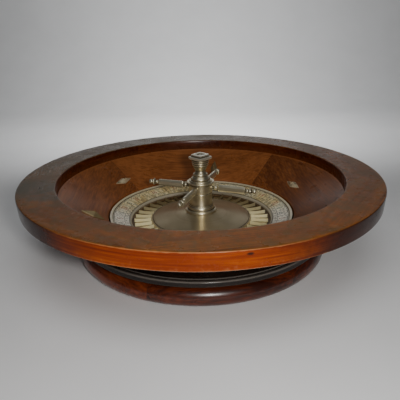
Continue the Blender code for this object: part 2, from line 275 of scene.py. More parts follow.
class Look:
    """A Principled material and short calls that build its node tree."""

    def __init__(self, name, metallic=0.0, coat=0.0, coat_roughness=0.1, ior=1.5):
        self.material = bpy.data.materials.new(name)
        self.material.use_nodes = True
        self.tree = self.material.node_tree
        self.shader = self.tree.nodes["Principled BSDF"]
        self.set_constants(self.shader, ("Metallic", "Coat Weight", "Coat Roughness", "IOR"),
                           (metallic, coat, coat_roughness, ior))

    def set_constants(self, item, sockets, values):
        for socket, value in zip(sockets, values):
            item.inputs[socket].default_value = value

    def feed(self, socket, value):
        if isinstance(value, bpy.types.NodeSocket):
            self.tree.links.new(value, socket)
        elif isinstance(value, tuple) and len(value) == 3 and socket.type == "RGBA":
            socket.default_value = (*value, 1.0)
        else:
            socket.default_value = value

    def node(self, kind, **settings):
        item = self.tree.nodes.new("ShaderNode" + kind)
        for key, value in settings.items():
            setattr(item, key, value)
        return item

    def call(self, item, *values):
        """Feeds a node's inputs in their order and gives its first output."""
        for socket, value in zip(item.inputs, values):
            self.feed(socket, value)
        return item.outputs[0]

    def math(self, operation, *values):
        return self.call(self.node("Math", operation=operation), *values)

    def times(self, first, second):
        return self.math("MULTIPLY", first, second)

    def plus(self, first, second):
        return self.math("ADD", first, second)

    def minus(self, first, second):
        return self.math("SUBTRACT", first, second)

    def over(self, first, second):
        return self.math("DIVIDE", first, second)

    def scaled(self, value, factor, shift):
        """The value times the factor, plus the shift."""
        return self.math("MULTIPLY_ADD", value, factor, shift)

    def length(self, *values):
        total = None
        for value in values:
            square = self.times(value, value)
            total = self.plus(total, square) if total else square
        return self.math("SQRT", total)

    def vector(self, x, y, z):
        return self.call(self.node("CombineXYZ"), x, y, z)

    def place(self):
        """Object coordinates as three sockets, in metres."""
        item = self.node("SeparateXYZ")
        self.call(item, self.node("TexCoord").outputs["Object"])
        return tuple(item.outputs)

    def noise(self, vector=None, scale=1.0, detail=3.0, roughness=0.55, distortion=0.0):
        """Noise over the object's coordinates, unless another vector is given."""
        item = self.node("TexNoise")
        self.feed(item.inputs["Vector"], vector or self.vector(*self.place()))
        self.set_constants(item, ("Scale", "Detail", "Roughness", "Distortion"),
                           (scale, detail, roughness, distortion))
        return item.outputs["Fac"]

    def steps(self, value, low, high, out_low=0.0, out_high=1.0):
        item = self.node("MapRange", clamp=True, interpolation_type="SMOOTHSTEP")
        return self.call(item, value, low, high, out_low, out_high)

    def ramp(self, value, *stops):
        item = self.node("ValToRGB")
        ramp = item.color_ramp
        while len(ramp.elements) < len(stops):
            ramp.elements.new(0.5)
        for element, (position, colour) in zip(ramp.elements, stops):
            element.position = position
            element.color = (*colour, 1.0)
        return self.call(item, value)

    def shades(self, value, dark, middle, light, spread=0.14):
        """A ramp from dark to light round one half."""
        return self.ramp(value, (0.5 - spread, dark), (0.5, middle), (0.5 + spread, light))

    def mix(self, share, first, second):
        item = self.node("Mix", data_type="RGBA")
        self.feed(item.inputs[0], share)
        self.feed(item.inputs[6], first)
        self.feed(item.inputs[7], second)
        return item.outputs[2]

    def hollow(self):
        """What hollowness() gives for this place."""
        return self.node("Attribute", attribute_name="hollow").outputs["Fac"]

    def up(self):
        """Upward part of the surface's direction."""
        item = self.node("SeparateXYZ")
        self.call(item, self.node("NewGeometry").outputs["Normal"])
        return item.outputs[2]

    def bump(self, height, distance, strength):
        item = self.node("Bump")
        self.feed(item.inputs["Height"], height)
        self.set_constants(item, ("Distance", "Strength"), (distance, strength))
        self.feed(self.shader.inputs["Normal"], item.outputs[0])

    def output(self, colour, roughness):
        self.feed(self.shader.inputs["Base Color"], colour)
        self.feed(self.shader.inputs["Roughness"], roughness)
        return self.material


def board_place(look, segments, offset):
    """Place in the ring's boards along, across and through the grain, their tint and joints."""
    x, y, z = look.place()
    radius = look.length(x, y)
    angle = look.plus(look.math("ARCTAN2", y, x), math.tau + offset)
    span = math.tau / segments
    turns = look.over(angle, span)
    board = look.math("FLOOR", turns)
    local = look.times(look.minus(look.minus(turns, board), 0.5), span)
    swing = look.scaled(look.math("MODULO", board, segments), 2.4, -math.pi / 2)
    edge = look.times(look.minus(span / 2, look.math("ABSOLUTE", local)), radius)
    along = look.times(radius, look.math("SINE", local))
    across = look.times(radius, look.math("COSINE", local))
    tint = look.scaled(look.math("SINE", swing), 0.5, 0.5)
    return (along, across, z), tint, look.steps(edge, 0.0002, 0.0008, 1.0, 0.0)


def grain_noise(look, along, across, height, stretch, detail, distortion=0.0):
    """Noise drawn out along the grain; stretch gives how often it changes along and across it."""
    stretches = (stretch[0], stretch[1], stretch[1])
    parts = [look.times(part, size) for part, size in zip((along, across, height), stretches)]
    return look.noise(look.vector(*parts), detail=detail, distortion=distortion)


def grain(look, place, tint, figured=0.5, tinted=0.14):
    """Tone of the wood, around one half, and its open pores at a place in its boards."""
    streaked = 0.5
    along, across, height = place
    shifted = look.scaled(tint, 0.7, along)
    figure = grain_noise(look, shifted, across, height, (3.0, 48.0), 4.0, 0.2)
    streak = grain_noise(look, shifted, across, height, (12.0, 330.0), 3.0, 0.2)
    pores = grain_noise(look, shifted, across, height, (150.0, 2400.0), 1.0)
    tone = look.scaled(figure, figured, look.times(streak, streaked))
    middle = (1.0 - streaked - figured) / 2
    tone = look.plus(tone, look.scaled(tint, tinted, middle - tinted / 2))
    return tone, look.steps(pores, 0.62, 0.74)


def wear_and_dirt(look, colour, rubbed, share=0.55):
    """Worn colour on edges and dirt in grooves, from the outline's hollowness."""
    hollow = look.hollow()
    scuff = look.noise(scale=160.0, detail=4.0)
    ragged = look.scaled(scuff, 0.3, -0.15)
    edge = look.steps(look.minus(ragged, hollow), 0.12, 0.34)
    colour = look.mix(look.times(edge, share), colour, rubbed)
    return look.mix(look.steps(hollow, 0.05, 0.3, 0.0, 0.7), colour, WOOD_DIRT)


def wood(name, dark, middle, light, segments, offset=0.0, gloss=(0.22, 0.4), coat=0.0, ior=1.45,
         figured=0.5):
    """Old polished mahogany in boards round the ring, with pores, figure, scuffs and worn edges."""
    look = Look(name, coat=coat, coat_roughness=0.27, ior=ior)
    place, tint, joint = board_place(look, segments, offset)
    tone, pores = grain(look, place, tint, figured)
    cloud = look.noise(scale=13.0, detail=5.0, roughness=0.6)
    colour = look.shades(tone, dark, middle, light)
    colour = look.mix(look.times(pores, 0.5), colour, dark)
    colour = look.mix(look.steps(cloud, 0.5, 0.75, 0.0, 0.4), colour, dark)
    colour = look.mix(look.times(joint, 0.6), colour, (0.012, 0.004, 0.001))
    colour = wear_and_dirt(look, colour, (0.3, 0.1, 0.03))
    look.bump(look.scaled(joint, -1.2, look.times(pores, -0.5)), 0.00012, 0.4)
    return look.output(colour, look.steps(cloud, 0.3, 0.75, *gloss))


def near(look, centre, reach, rough):
    """One at a place given in metres, falling to nothing at the reach, with a ragged border."""
    parts = [look.over(look.minus(here, middle), size)
             for here, middle, size in zip(look.place(), centre, reach)]
    ragged = look.noise(scale=90.0, detail=5.0, roughness=0.7)
    distance = look.plus(look.length(*parts), look.scaled(ragged, rough, -rough / 2))
    return look.steps(distance, 0.35, 1.0, 1.0, 0.0)


def rim_top_wood(name):
    """The rim's top and inner wall: dust and mottles on top with a painted grey sheen at the back
    and left, nearly black-red inside.
    """
    look = Look(name, ior=1.34)
    place, tint, joint = board_place(look, 8, 0.2)
    tone, pores = grain(look, place, tint, figured=0.4, tinted=0.04)
    x, y, _ = look.place()
    cloud = look.noise(scale=15.0, detail=7.0, roughness=0.68)
    mottle = look.noise(scale=75.0, detail=5.0, roughness=0.7, distortion=0.4)
    top = look.shades(tone, (0.09, 0.026, 0.004), (0.185, 0.056, 0.006), (0.3, 0.1, 0.012))
    top = look.mix(look.steps(mottle, 0.46, 0.66, 0.0, 0.7), top, (0.11, 0.06, 0.012))
    top = look.mix(look.steps(mottle, 0.34, 0.46, 0.3, 0.0), top, (0.34, 0.09, 0.012))
    dust = look.times(look.steps(cloud, 0.42, 0.62), look.steps(mottle, 0.35, 0.6, 0.4, 1.0))
    top = look.mix(look.times(dust, 0.35), top, (0.11, 0.075, 0.035))
    # Painted grey sheen over the back and left of the top, where the polish reflects the room.
    painted_sheen = look.plus(look.scaled(x, -0.75, y), look.scaled(cloud, 0.2, -0.1))
    top = look.mix(look.steps(painted_sheen, -0.1, 0.3, 0.0, 0.75), top, (0.1, 0.07, 0.03))
    stain = near(look, (-0.262, -0.075, 0.137), (0.075, 0.06, 0.05), 1.1)
    run = near(look, (-0.235, -0.118, 0.137), (0.045, 0.022, 0.05), 1.1)
    top = look.mix(look.times(look.math("MAXIMUM", stain, run), 0.5), top, (0.045, 0.065, 0.055))
    wall = look.shades(tone, (0.03, 0.004, 0.0006), (0.065, 0.01, 0.001), (0.11, 0.02, 0.002))
    facing_up = look.steps(look.up(), 0.45, 0.8)
    colour = look.mix(facing_up, wall, top)
    colour = look.mix(look.times(pores, look.times(facing_up, 0.4)), colour, (0.05, 0.012, 0.004))
    joint = look.times(look.times(joint, facing_up), 0.2)
    colour = look.mix(joint, colour, (0.03, 0.012, 0.005))
    colour = wear_and_dirt(look, colour, (0.4, 0.15, 0.05), 0.1)
    look.bump(look.scaled(mottle, 0.5, look.times(pores, -0.5)), 0.00012, 0.4)
    return look.output(colour, look.steps(cloud, 0.3, 0.7, 0.2, 0.34))


def rim_band_wood(name):
    """The rim's outer band, orange-red in front and nearly black at the sides and back: painted
    flash light and painted shade.
    """
    look = Look(name, ior=1.25)
    x, y, z = look.place()
    round_rim = look.times(look.plus(look.math("ARCTAN2", y, x), math.tau + 0.2), RIM_RADIUS * MM)
    tone, pores = grain(look, (round_rim, z, look.length(x, y)), 0.5)
    cloud = look.noise(scale=15.0, detail=7.0, roughness=0.68)
    red = look.shades(tone, (0.15, 0.014, 0.0006), (0.26, 0.035, 0.001), (0.4, 0.075, 0.001), 0.12)
    red = look.mix(look.times(pores, 0.4), red, (0.14, 0.012, 0.0006))
    red = look.mix(look.steps(cloud, 0.5, 0.64, 0.0, 0.6), red, (0.22, 0.026, 0.001))
    dark = look.ramp(tone, (0.4, (0.012, 0.002, 0.0003)), (0.6, (0.042, 0.007, 0.001)))
    # Painted flash light and shade: the band is orange-red only round the front and falls to nearly
    # black at the sides and back.
    front = near(look, (-0.04, -0.32, 0.123), (0.25, 0.16, 0.3), 0.25)
    colour = look.mix(front, dark, red)
    knot = near(look, (0.0542, -0.2991, 0.1315), (0.0062, 0.005, 0.0026), 0.9)
    colour = look.mix(look.times(knot, 0.92), colour, (0.02, 0.006, 0.002))
    chip = near(look, (0.1533, -0.2631, 0.1104), (0.0075, 0.006, 0.0016), 0.8)
    colour = look.mix(look.times(chip, 0.9), colour, (0.5, 0.34, 0.2))
    # The rubbed top edge is strongest in front, where it partly paints the flash highlight along
    # the edge.
    colour = wear_and_dirt(look, colour, (0.62, 0.3, 0.12), look.scaled(front, 0.45, 0.05))
    look.bump(look.times(pores, -0.5), 0.00012, 0.4)
    return look.output(colour, look.steps(cloud, 0.3, 0.75, 0.16, 0.32))


def ebonised(name):
    """Black-stained wood under an old polish, rubbed grey along its upper edges, which also paints
    a reflection line there.
    """
    look = Look(name, coat=0.15, coat_roughness=0.1, ior=1.35)
    place, _, _ = board_place(look, 6, 0.3)
    streak = grain_noise(look, *place, (20.0, 500.0), 3.0)
    colour = look.ramp(streak, (0.3, (0.006, 0.004, 0.003)), (0.7, (0.02, 0.011, 0.007)))
    edge = look.times(look.hollow(), -1.0)
    # Grey on edges that face up: partly rubbed wear, partly a painted reflection line.
    rubbed_edge_and_reflection = look.steps(edge, 0.04, 0.16, 0.0, 0.8)
    rubbed_edge_and_reflection = look.times(rubbed_edge_and_reflection, look.steps(look.up(), 0.1, 0.6, 0.1, 1.0))
    colour = look.mix(rubbed_edge_and_reflection, colour, (0.17, 0.15, 0.13))
    cloud = look.noise(scale=20.0, detail=4.0)
    look.bump(streak, 0.0001, 0.25)
    return look.output(colour, look.steps(cloud, 0.3, 0.7, 0.18, 0.32))


def aged_metal(name, bright, dull, dark, gloss=(0.2, 0.34), turned=0.35, patina=0.5, scale=40.0,
               grime=0.85, metallic=1.0, brushed=0.0, top_darkening=0.0, painted_shade_back=0.0):
    """Plated or cast metal with turning marks, tarnish in clouds and dirt in its grooves.

    Darkening on top darkens what faces up, painted shade at the back darkens the half behind the
    spindle, and brushed spreads the shine across the turning marks.
    """
    look = Look(name, metallic=metallic)
    look.set_constants(look.shader, ("Anisotropic", "Anisotropic Rotation"), (brushed, 0.25))
    x, y, z = look.place()
    radius = look.length(x, y)
    marks, bands = (
        look.noise(look.vector(look.times(radius, often), look.times(z, often), 0.0), detail=detail)
        for often, detail in ((900.0, 2.0), (160.0, 3.0)))
    cloud = look.noise(scale=scale, detail=4.0, roughness=0.55)
    spots = look.noise(scale=scale * 14.0, detail=2.0, roughness=0.6)
    colour = look.mix(look.steps(cloud, 0.38, 0.68, 0.0, patina), bright, dull)
    colour = look.mix(look.steps(bands, 0.5, 0.7, 0.0, turned), colour, dull)
    colour = look.mix(look.steps(spots, 0.66, 0.78, 0.0, patina * 0.5), colour, dark)
    hollow = look.hollow()
    dirt = look.steps(look.plus(hollow, look.scaled(cloud, 0.3, -0.15)), 0.03, 0.25)
    colour = look.mix(look.times(dirt, grime), colour, dark)
    colour = look.mix(look.steps(look.times(hollow, -1.0), 0.06, 0.25, 0.0, 0.6), colour, bright)
    # Darker on what faces up.
    colour = look.mix(look.steps(look.up(), 0.35, 0.8, 0.0, top_darkening), colour, dark)
    # Painted shade over the half behind the spindle.
    colour = look.mix(look.steps(y, 0.0, 0.08, 0.0, painted_shade_back), colour, dark)
    rough = look.plus(look.steps(cloud, 0.35, 0.7, *gloss), look.times(dirt, 0.25))
    look.bump(look.plus(look.times(marks, turned), look.times(spots, -0.1)), 0.00004, 0.5)
    return look.output(colour, rough)


def ring_silver(name):
    """Silvered number ring: pale grey metal under yellow-brown tarnish, with engraver's circles."""
    look = Look(name, metallic=0.12)
    x, y, _ = look.place()
    radius = look.length(x, y)
    cloud = look.noise(scale=24.0, detail=8.0, roughness=0.7, distortion=0.5)
    fine = look.noise(scale=230.0, detail=5.0, roughness=0.78)
    circles = look.math("SINE", look.times(radius, 5200.0))
    colour = look.ramp(cloud, (0.3, (0.52, 0.35, 0.13)), (0.44, (0.78, 0.62, 0.3)),
                       (0.56, (0.86, 0.77, 0.48)), (0.7, (0.9, 0.85, 0.62)))
    left, right = (near(look, (side * 0.135, -0.045, 0.06), (0.08, 0.09, 0.08), 0.9)
                   for side in (-1, 1))
    worn = look.math("MAXIMUM", left, right)
    colour = look.mix(look.times(worn, 0.85), colour, (1.0, 0.97, 0.86))
    colour = look.mix(look.steps(fine, 0.5, 0.62, 0.0, 0.75), colour, (0.14, 0.1, 0.045))
    inner = look.steps(radius, (RING_INNER + 2.4) * MM, (RING_INNER + 3.2) * MM, 0.9, 0.0)
    colour = look.mix(inner, colour, (0.09, 0.06, 0.03))
    band = look.steps(radius, (BAND_FOOT - 1.0) * MM, BAND_FOOT * MM, 0.0, 0.55)
    pale_edge = look.steps(radius, (RING_RADIUS - 2.2) * MM, (RING_RADIUS - 1.8) * MM, 1.0, 0.0)
    colour = look.mix(look.times(band, pale_edge), colour, (0.26, 0.19, 0.09))
    hollow = look.hollow()
    colour = look.mix(look.steps(hollow, 0.04, 0.22, 0.0, 0.9), colour, (0.04, 0.03, 0.015))
    rubbed = look.steps(look.times(hollow, -1.0), 0.08, 0.3, 0.0, 0.5)
    colour = look.mix(rubbed, colour, (0.8, 0.74, 0.56))
    look.bump(look.plus(look.times(circles, 0.12), look.times(fine, -0.7)), 0.00012, 0.7)
    return look.output(colour, look.steps(cloud, 0.35, 0.7, 0.5, 0.36))


def pocket_metal(name):
    """Brown tarnished metal of the pockets' floor, paler where the ball has polished it."""
    look = Look(name, metallic=0.8)
    x, y, _ = look.place()
    radius = look.length(x, y)
    turns = look.over(look.plus(look.math("ARCTAN2", y, x), math.tau), POCKET_ANGLE)
    share = look.math("FRACT", turns)
    from_fret = look.math("MINIMUM", share, look.minus(1.0, share))
    side = look.times(look.times(from_fret, POCKET_ANGLE), radius)
    from_dish = look.minus(radius, DISH_RADIUS * MM)
    from_ring = look.minus(FLOOR_RADIUS * MM, radius)
    ends = look.math("MINIMUM", from_dish, from_ring)
    border = look.math("MINIMUM", side, look.times(ends, 0.8))
    cloud = look.noise(scale=90.0, detail=6.0, roughness=0.7)
    ragged = look.plus(border, look.scaled(cloud, 0.006, -0.003))
    grime = look.steps(ragged, 0.0012, 0.0065, 1.0, 0.0)
    colour = look.shades(cloud, (0.24, 0.16, 0.06), (0.5, 0.37, 0.17), (0.7, 0.56, 0.3), 0.2)
    colour = look.mix(look.times(grime, 0.85), colour, (0.05, 0.03, 0.012))
    look.bump(cloud, 0.00008, 0.4)
    return look.output(colour, look.scaled(grime, 0.25, 0.25))


def enamel(name, colour_low, colour_high):
    """Worn enamel of the numbers and engraved lines."""
    look = Look(name)
    cloud = look.noise(scale=300.0, detail=5.0, roughness=0.7)
    colour = look.ramp(cloud, (0.35, colour_low), (0.65, colour_high))
    look.bump(cloud, 0.00005, 0.5)
    return look.output(colour, look.steps(cloud, 0.3, 0.7, 0.35, 0.6))


LOOKS = {
    "rim_top": rim_top_wood("mahogany_rim_polish"),
    "rim_band": rim_band_wood("mahogany_band_polish"),
    "track": wood(
        "mahogany_track_polish", (0.1, 0.028, 0.007), (0.21, 0.066, 0.016), (0.33, 0.11, 0.03),
        4, offset=math.radians(40.0), gloss=(0.26, 0.38), ior=1.34, figured=0.26),
    "dark": wood(
        "mahogany_dark_polish", (0.03, 0.005, 0.0015), (0.1, 0.017, 0.004), (0.2, 0.037, 0.008),
        6, offset=0.9, gloss=(0.26, 0.34), coat=0.7, ior=1.35),
    "core": wood("core_wood", (0.06, 0.035, 0.015), (0.12, 0.07, 0.03), (0.18, 0.11, 0.05), 6),
    "ebony": ebonised("ebonised_polish"),
    "ring": ring_silver("number_ring_silver"),
    "nickel": aged_metal(
        "aged_nickel_plate", (0.92, 0.84, 0.62), (0.5, 0.43, 0.26), (0.08, 0.06, 0.03),
        gloss=(0.31, 0.4), turned=0.55, patina=0.7, grime=0.7, brushed=0.5),
    # The cap's plating is paler than the column's: partly wear, partly a painted sheen.
    "cap": aged_metal(
        "nickel_cap_wear_and_painted_sheen", (1.0, 0.95, 0.78), (0.72, 0.63, 0.42), (0.07, 0.05, 0.02),
        gloss=(0.26, 0.36), turned=0.2, grime=0.9, metallic=0.8),
    "arm": aged_metal(
        "worn_nickel_arms", (0.68, 0.63, 0.47), (0.4, 0.36, 0.23), (0.07, 0.05, 0.02),
        gloss=(0.28, 0.38), patina=0.7, grime=0.8, metallic=0.85),
    "dish": aged_metal(
        "spun_grey_metal", (0.56, 0.47, 0.3), (0.4, 0.31, 0.17), (0.09, 0.06, 0.03),
        gloss=(0.28, 0.4), turned=0.4, scale=18.0, metallic=0.85, brushed=0.6),
    # The frets are darkened on what faces up and carry painted shade on the half behind the
    # spindle.
    "fret": aged_metal(
        "fret_metal", (1.0, 0.93, 0.58), (0.95, 0.78, 0.38), (0.2, 0.13, 0.05),
        gloss=(0.5, 0.58), patina=0.4, scale=150.0, metallic=0.55, top_darkening=0.85, painted_shade_back=0.8),
    "bronze": aged_metal(
        "aged_bronze_cast", (0.95, 0.84, 0.58), (0.2, 0.16, 0.08), (0.07, 0.045, 0.02),
        gloss=(0.34, 0.46), turned=0.0, patina=0.9, scale=60.0, metallic=0.6, grime=0.4),
    # Darker bronze for two lozenges: partly tarnish, partly painted shade.
    "tarnished": aged_metal(
        "bronze_tarnish_and_painted_shade", (0.26, 0.2, 0.1), (0.13, 0.09, 0.045), (0.05, 0.03, 0.015),
        gloss=(0.42, 0.54), turned=0.0, scale=60.0, metallic=0.5, grime=0.4),
    "steel": aged_metal("turned_steel", (0.5, 0.5, 0.5), (0.34, 0.33, 0.31), (0.06, 0.05, 0.04)),
    "brass": aged_metal("turned_brass", (0.72, 0.52, 0.24), (0.45, 0.3, 0.1), (0.1, 0.06, 0.02)),
    "pocket": pocket_metal("pocket_brown_metal"),
    "line": enamel("engraved_line", (0.02, 0.016, 0.01), (0.07, 0.055, 0.035)),
    "black": enamel("number_black", (0.012, 0.012, 0.012), (0.05, 0.045, 0.035)),
    "red": enamel("number_red", (0.22, 0.02, 0.012), (0.36, 0.06, 0.035)),
    "green": enamel("number_green", (0.01, 0.08, 0.03), (0.04, 0.16, 0.07)),
}


# The bowl.

def make_foot():
    tube = FOOT_TOP / 2
    centre = FOOT_RADIUS - tube
    inner = 160.0
    outline = []
    for step in range(25):
        angle = math.pi / 2 - math.pi * step / 24
        outline.append((centre + tube * math.cos(angle), tube + tube * math.sin(angle)))
    outline += [(inner, 0.0), (inner, FOOT_TOP)]
    piece = lathe("foot_moulding", outline, LOOKS["dark"])
    declare(piece, BOWL, "mahogany_dark", "foot_ring")


def make_base():
    """Black moulding: a hollow cove under the bowl, a bead between two fillets, and the board."""
    top = BOARD_TOP
    edge = FOOT_TOP + SEAT_GAP
    bead = 39.5
    hub = 7.8
    floor = 35.7
    outline = [(204.0, top, 0.5), (199.0, top - 2.5, 1.0), (195.5, top - 8.0, FULL),
               (196.0, top - 13.0, FULL), (203.0, bead + 5.0, 0.8), (207.5, bead + 4.6, 0.5),
               (208.5, bead + 3.4, 0.5), (211.0, bead + 4.8, FULL)]
    outline += [(BOARD_RADIUS, bead + rise, FULL) for rise in (4.4, 0.0, -4.4)]
    outline += [(211.0, bead - 4.8, FULL), (208.5, bead - 4.6, 0.5), (207.5, edge, 0.5),
                (159.5, edge, 0.5), (159.5, BOARD_BOTTOM, 1.0), (hub, BOARD_BOTTOM),
                (hub, floor), (172.0, floor, 2.0), (178.0, top, 0.5)]
    piece = lathe("base_moulding", rounded(outline), LOOKS["ebony"])
    declare(piece, BOWL, "ebonised_wood", "base_board")


def make_shell():
    seat = RIM_BOTTOM - SEAT_GAP
    inner = 177.0
    waist = 207.5
    apron_depth = 12.6
    outline = [(SHELL_RADIUS, seat), (297.5, 106.5, FULL), (272.0, 94.0, FULL), (242.0, 82.0, FULL),
               (216.0, 71.0, FULL), (waist, 65.0, FULL), (waist, SHELL_BOTTOM, 0.4),
               (inner, SHELL_BOTTOM, 0.4), (inner, apron_height(inner) - apron_depth),
               (TRACK_RADIUS, apron_height(TRACK_RADIUS) - apron_depth), (TRACK_RADIUS, seat)]
    piece = lathe("bowl_underside", rounded(outline, steps=10), LOOKS["dark"])
    declare(piece, BOWL, "mahogany_dark", "bowl_shell")


def make_apron():
    lip = APRON_INNER + 3.0
    outline = [(APRON_RADIUS, APRON_TOP), (APRON_RADIUS, APRON_TOP - 12.0),
               (APRON_INNER, APRON_BOTTOM), (APRON_INNER, APRON_LIP - 0.2, 0.6),
               (lip, apron_height(lip), 0.5)]
    outline += spaced(lip, APRON_RADIUS, 24, apron_height)
    piece = lathe("track_apron", rounded(outline), LOOKS["track"])
    declare(piece, BOWL, "mahogany_track", "bowl_apron")


def make_rim():
    """The rim ring; its outer band has a look of its own."""
    side = RIM_RADIUS - 1.4
    shoulder = RIM_TOP - 5.0
    inner = TRACK_RADIUS + 1.2
    outline = [(RIM_RADIUS, RIM_TOP, 2.2), (RIM_RADIUS, shoulder), (side, RIM_BOTTOM, 1.6),
               (TRACK_RADIUS, RIM_BOTTOM, 0.5), (TRACK_RADIUS, shoulder), (inner, RIM_TOP, 1.8)]
    outline += spaced(inner, RIM_RADIUS, 12, lambda radius: RIM_TOP)
    piece = lathe("bowl_rim", rounded(outline, steps=6), LOOKS["rim_top"], steps=320)
    piece.data.materials.append(LOOKS["rim_band"])
    for face in piece.data.polygons:
        if face.center.xy.length > (RIM_RADIUS - 2.0) * MM and abs(face.normal.z) < 0.7:
            face.material_index = 1
    declare(piece, BOWL, "mahogany_rim", "rim_ring")


def deflector_place(index):
    """Place of a deflector on the slope; every second one is turned a quarter."""
    slope = math.atan2(APRON_TOP - APRON_LIP, APRON_RADIUS - APRON_INNER)
    around = DEFLECTOR_ANGLES[index]
    turn = Matrix.Rotation(around, 4, "Z") @ Matrix.Rotation(-slope, 4, "Y")
    if index % 2:
        turn = turn @ Matrix.Rotation(math.pi / 2, 4, "Z")
    radius = DEFLECTOR_RADIUS * MM
    height = apron_height(DEFLECTOR_RADIUS) * MM
    foot = Vector((*polar(radius, around), height))
    lift = turn @ Vector((0.0, 0.0, DEFLECTOR_CLEARANCE * MM))
    return Matrix.Translation(foot + lift) @ turn


def make_deflectors():
    """Cast lozenges with four facets and a round-headed pin, along and down the slope in turn."""
    half = DEFLECTOR_WIDTH / 2
    outline = rounded([(0.0, 7.0), (0.9, 7.0, 0.3), (half - 0.9, 1.3, 0.5), (half - 0.2, 0.9, 0.3),
                       (half, -0.9, 0.2), (0.0, -0.9)], steps=3)
    stretch = Matrix.Diagonal((1.0, DEFLECTOR_LENGTH / DEFLECTOR_WIDTH, 1.0, 1.0))
    pin_outline = rounded([(0.0, 8.0), (1.0, 8.0, FULL), (1.4, 7.0, 0.2), (1.4, 5.5), (0.0, 5.5)],
                          steps=4)
    for index in range(len(DEFLECTOR_ANGLES)):
        place = deflector_place(index)
        # Two lozenges take the darker bronze: partly tarnish, partly painted shade.
        look = LOOKS["tarnished" if index in TARNISHED_AND_SHADED_DEFLECTORS else "bronze"]
        piece = lathe(f"lozenge_{index + 1}", outline, look, 96,
                      lambda point, angle: superellipse(1.12, angle), place @ stretch)
        declare(piece, BOWL, "aged_bronze", f"deflector_{index + 1}")
        pin = lathe(f"lozenge_pin_{index + 1}", pin_outline, LOOKS["brass"], 24, None, place)
        declare(pin, BOWL, "brass")


# The rotor.

def make_number_ring():
    """The ring's plain inner band, its sloping face, a fine groove and the raised outer band."""
    outer = RING_RADIUS
    band = ring_height(BAND_FOOT)
    outline = [(outer - 0.6, RING_TOP, 0.3), (outer, RING_TOP - 0.7, 0.3),
               (outer - 0.3, ring_height(outer) - 4.2), (RING_INNER, RING_BOTTOM),
               (RING_INNER, RING_INNER_TOP - 0.6, 0.5),
               (RING_INNER + 2.2, ring_height(RING_INNER + 2.2), 0.3),
               (RING_INNER + 2.8, ring_height(RING_INNER + 2.8) - 0.4, 0.2)]
    outline += spaced(RING_INNER + 3.4, BAND_FOOT - 1.6, 10, ring_height)
    outline += [(BAND_FOOT - 0.9, ring_height(BAND_FOOT - 0.9), 0.2), (BAND_FOOT - 0.6, band - 0.9),
                (BAND_FOOT + 0.1, band - 0.9), (BAND_FOOT + 0.6, RING_TOP - 0.6, 0.3)]
    piece = lathe("silver_ring", rounded(outline, steps=3), LOOKS["ring"], steps=RING_STEPS)
    declare(piece, ROTOR, "aged_silver", "number_ring")


def on_ring(radius, angle, lift=LINE_LIFT):
    """A point in metres just over the number ring's face."""
    return (*polar(radius * MM, angle), (ring_height(radius) + lift) * MM)


def ribbon(verts, faces, path, width):
    """A flat strip along (radius, angle) points on the ring, width in millimetres."""
    first = len(verts)
    last = len(path) - 1
    for index, step in enumerate(path):
        here = Vector(polar(*step))
        before_x, before_y = polar(*path[max(index - 1, 0)])
        after_x, after_y = polar(*path[min(index + 1, last)])
        side = Vector((before_y - after_y, after_x - before_x)).normalized() * width / 2
        for point in (here - side, here + side):
            verts.append(on_ring(point.length, math.atan2(point.y, point.x)))
    for index in range(last):
        start = first + index * 2
        faces.append((start, start + 2, start + 3, start + 1))


def make_engraving():
    """Cell walls, arched cell heads, curls and beads engraved on the number ring."""
    verts = []
    faces = []
    cell_inner = RING_INNER + 4.0
    cell_outer = BAND_FOOT - 2.2
    curl_band = cell_inner + 8.0
    arch_foot = cell_outer - 6.5
    for radius, width in ((cell_inner, 0.8), (cell_outer, 0.9), (curl_band, 0.7)):
        circle = [(radius, math.tau * step / RING_STEPS) for step in range(RING_STEPS + 1)]
        ribbon(verts, faces, circle, width)
    for cell in range(POCKET_COUNT):
        wall = cell * POCKET_ANGLE
        ribbon(verts, faces, [(cell_inner, wall), (cell_outer, wall)], 0.8)
        arch = []
        for step in range(17):
            share = step / 16
            bulge = math.sin(math.pi * share)
            arch.append((arch_foot + 5.6 * bulge, wall + POCKET_ANGLE * (0.06 + 0.88 * share)))
        ribbon(verts, faces, arch, 0.7)
        for side in (-1, 1):
            curl(verts, faces, cell_inner + 4.1, wall + POCKET_ANGLE * (0.5 + side * 0.26), side)
        for bead in range(6):
            swing = wall + POCKET_ANGLE * (bead + 0.5) / 6
            ribbon(verts, faces, [(cell_outer + 0.9, swing), (cell_outer + 2.0, swing)], 1.3)
    mesh = new_mesh("ring_engraving", verts, faces, LOOKS["line"])
    declare(add_object(mesh), ROTOR, "aged_silver")


def curl(verts, faces, radius, angle, side):
    """A spiral scroll of one and a half turns round a point on the ring."""
    path = []
    for step in range(19):
        share = step / 18
        size = mix(3.0, 0.7, share)
        turn = math.pi / 2 + side * 3.0 * math.pi * share
        path.append((radius + size * math.sin(turn), angle + size * math.cos(turn) / radius))
    ribbon(verts, faces, path, 0.7)


def number_colour(number):
    """Red numbers are the odd ones of 1 to 10 and 19 to 28, and the even ones of the rest."""
    if number == 0:
        return "green"
    odd_is_red = number <= 10 or 19 <= number <= 28
    return "red" if (number % 2 == 1) == odd_is_red else "black"


